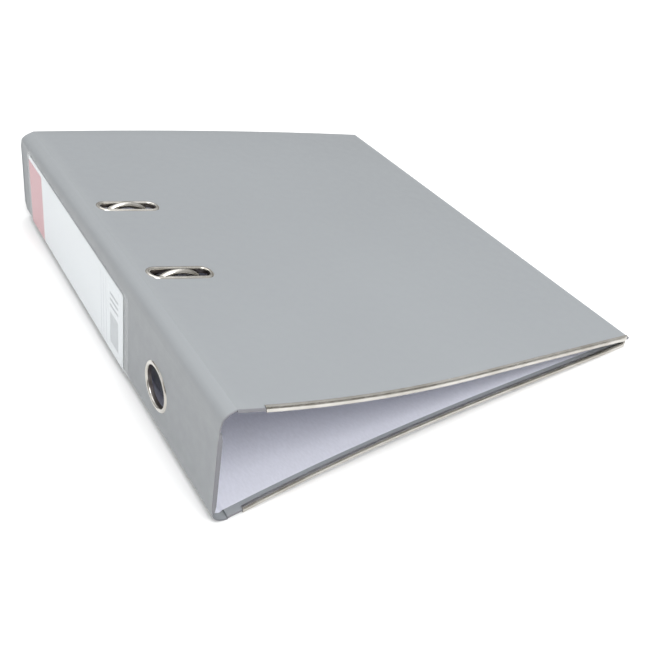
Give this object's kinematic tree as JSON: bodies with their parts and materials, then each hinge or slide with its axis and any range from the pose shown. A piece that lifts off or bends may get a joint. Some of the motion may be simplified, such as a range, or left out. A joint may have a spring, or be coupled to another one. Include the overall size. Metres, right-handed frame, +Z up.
{
  "type": "lever arch file",
  "caption": "Grey A4 lever arch file lying closed: board covers with two ring slots, finger ring, spine label pocket, metal bottom edges and a riveted lever arch mechanism inside.",
  "frame": {"origin": "middle of the file in plan, on the surface it lies on", "axes": "+X from the spine to the fore-edge, +Y along the spine from the end with the metal edges to the other, +Z up through the front cover"},
  "size_m": [0.2872, 0.318, 0.0712],
  "materials": {
    "cover_film": "grey polypropylene film, smooth and matte",
    "grey_board": "raw grey board",
    "lining_paper": "smooth printed lining paper, pale lilac",
    "nickel_plate": "nickel plated, polished",
    "bright_steel": "bright zinc plated sheet steel",
    "black_plastic": "moulded black",
    "clear_film": "clear welded film",
    "label_card": "white printed card"
  },
  "bodies": {
    "root": {"back_film": "cover_film", "back_board": "grey_board", "back_lining": "lining_paper", "back_edge_protector": "nickel_plate", "base_plate": "bright_steel", "rivet_near_spine": "nickel_plate", "rivet_far_spine": "nickel_plate", "rivet_near_inner": "nickel_plate", "rivet_far_inner": "nickel_plate", "near_post": "nickel_plate", "far_post": "nickel_plate", "lever_bracket": "bright_steel", "lever_pin": "nickel_plate"},
    "spine": {"spine_film": "cover_film", "spine_board": "grey_board", "spine_lining": "lining_paper", "lower_fold": "cover_film", "upper_fold": "cover_film", "finger_ring": "nickel_plate", "finger_ring_washer": "nickel_plate", "label_pocket": "clear_film"},
    "label": {"label_card": "label_card"},
    "front_cover": {"front_film": "cover_film", "front_board": "grey_board", "front_lining": "lining_paper", "front_edge_protector": "nickel_plate", "slot_rim_near": "nickel_plate", "slot_rim_far": "nickel_plate", "slot_backing_near": "nickel_plate", "slot_backing_far": "nickel_plate"},
    "arches": {"arch_wire": "nickel_plate"},
    "lever": {"lever": "nickel_plate", "roller_pin": "bright_steel"},
    "roller": {"lever_roller": "black_plastic"},
    "compressor": {"compressor_bar": "black_plastic", "compressor_clip_near": "bright_steel", "compressor_clip_far": "bright_steel"}
  },
  "joints": [
    {"name": "spine_hinge", "type": "hinge", "parent": "root", "child": "spine", "pos_m": [-0.14024, 0, 0.00278], "axis": [0, -1, 0], "range_deg": [0, 96], "deforming": ["lower_fold"]},
    {"name": "front_hinge", "type": "hinge", "parent": "spine", "child": "front_cover", "pos_m": [-0.13426, 0, 0.06806], "axis": [0, -1, 0], "range_deg": [0, 97], "deforming": ["upper_fold"]},
    {"name": "arch_pivot", "type": "hinge", "parent": "root", "child": "arches", "pos_m": [-0.1258, 0, 0.0096], "axis": [0, -1, 0], "range_deg": [0, 35]},
    {"name": "lever_pivot", "type": "hinge", "parent": "root", "child": "lever", "pos_m": [-0.1084, 0.02, 0.024], "axis": [-1, 0, 0], "range_deg": [0, 75]},
    {"name": "roller_spin", "type": "hinge", "parent": "lever", "child": "roller", "pos_m": [-0.1134, 0.0155, 0.01621], "axis": [1, 0, 0], "continuous": true},
    {"name": "compressor_slide", "type": "slide", "parent": "root", "child": "compressor", "axis": [0, 0, 1], "range_m": [0, 0.03]},
    {"name": "label_slide", "type": "slide", "parent": "spine", "child": "label", "axis": [0, 1, 0], "range_m": [0, 0.15]}
  ],
  "couplings": [
    {"joint": "front_hinge", "follows": "spine_hinge", "ratio": 1.01},
    {"joint": "arch_pivot", "follows": "spine_hinge", "ratio": 0.364},
    {"joint": "lever_pivot", "follows": "spine_hinge", "ratio": 0.78}
  ]
}
